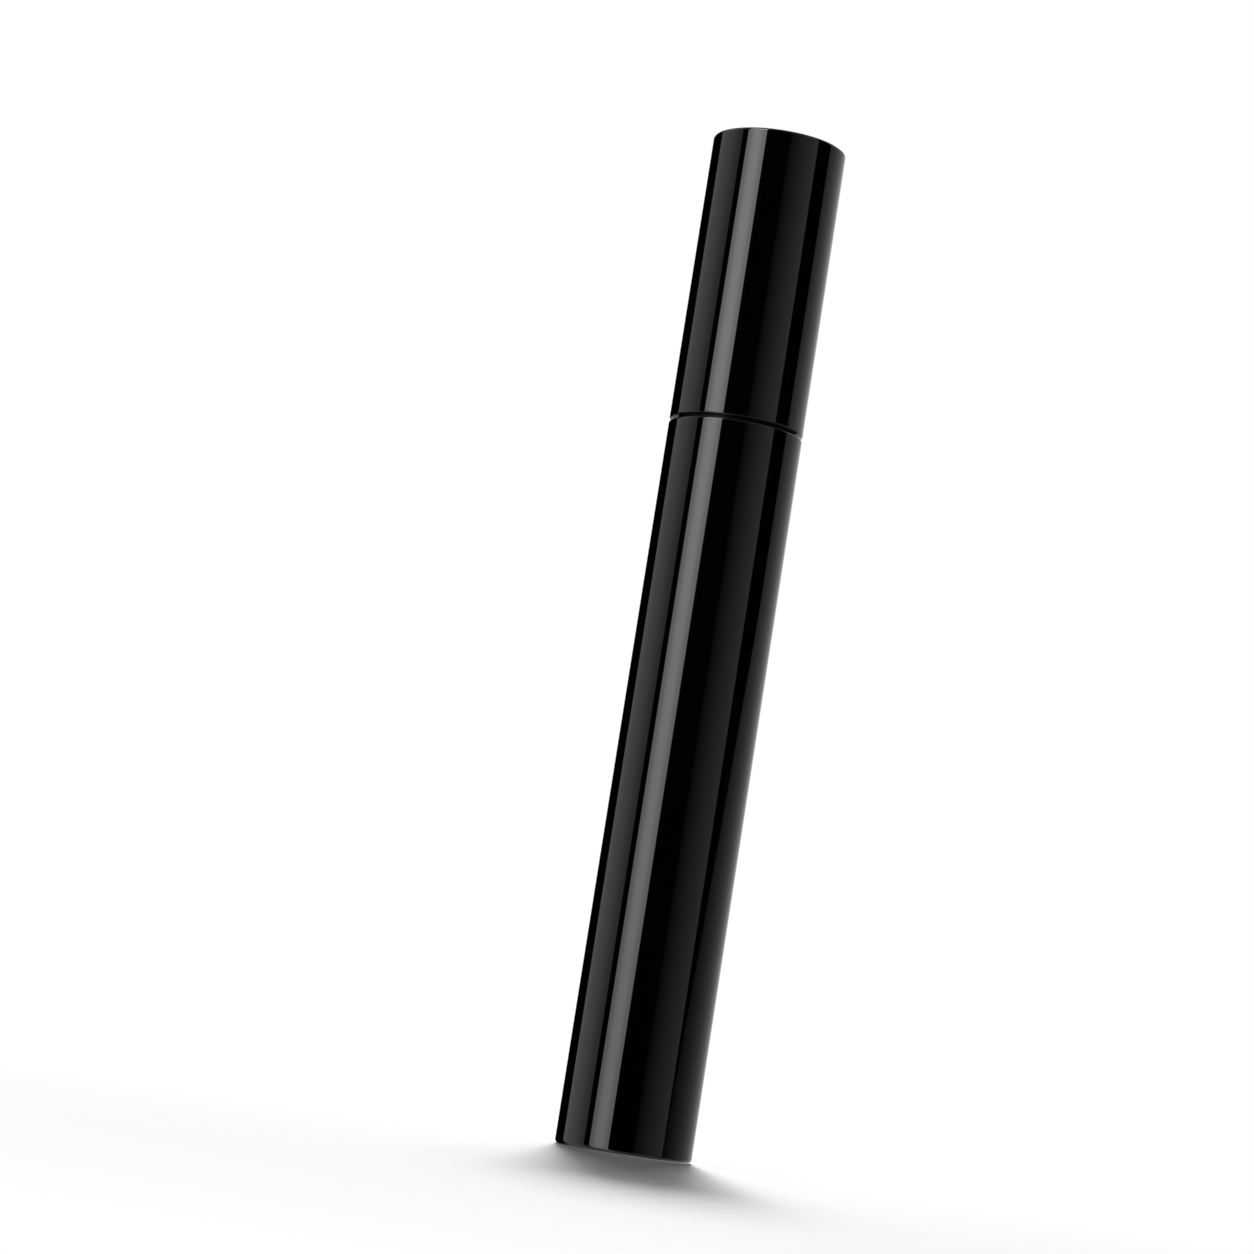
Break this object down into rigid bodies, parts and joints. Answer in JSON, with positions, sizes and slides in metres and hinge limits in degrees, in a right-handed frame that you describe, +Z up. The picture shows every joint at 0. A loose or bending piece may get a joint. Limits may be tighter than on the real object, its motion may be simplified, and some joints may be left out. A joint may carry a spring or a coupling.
{
  "type": "mascara tube",
  "caption": "Straight gloss mascara tube with a screw cap that carries the wand: twisted-wire brush, rod, washer and weight over a wiped reservoir.",
  "frame": {"origin": "centre of the base, on the plane that the tube stands on", "axes": "+Z up along the tube's axis towards the cap; the tube is round, so +X and +Y are free"},
  "size_m": [0.0164, 0.0164, 0.1241],
  "materials": {
    "gloss_shell": "piano gloss black moulding",
    "satin_black": "satin black moulding",
    "natural_plastic": "unpigmented, slightly milky moulding",
    "wiper_elastomer": "soft matt elastomer",
    "washer_foam": "closed-cell foam",
    "weight_steel": "turned steel",
    "wire_steel": "drawn steel wire",
    "bristle_fibre": "black fibre"
  },
  "bodies": {
    "bottle": {"outer_casing": "gloss_shell", "base_weight": "weight_steel", "inner_bottle": "natural_plastic", "neck_collar": "satin_black", "wiper": "wiper_elastomer"},
    "washer": {"seal_washer": "washer_foam"},
    "crown_weight": {"cap_weight": "weight_steel"},
    "applicator": {"cap_shell": "gloss_shell", "inner_cap": "natural_plastic", "wand_rod": "satin_black", "brush_core": "wire_steel", "brush_bristles": "bristle_fibre"}
  },
  "joints": [
    {"name": "applicator_pull", "type": "slide", "parent": "bottle", "child": "washer", "axis": [0, 0, 1], "range_m": [0, 0.095], "deforming": ["brush_bristles"]},
    {"name": "cap_rise", "type": "slide", "parent": "washer", "child": "crown_weight", "axis": [0, 0, 1], "range_m": [0, 0.003]},
    {"name": "cap_turn", "type": "hinge", "parent": "crown_weight", "child": "applicator", "pos_m": [0, 0, 0.0885], "axis": [0, 0, 1], "range_deg": [0, 540]}
  ],
  "couplings": [
    {"joint": "cap_rise", "follows": "cap_turn", "m_per_rad": 0.00031831}
  ]
}
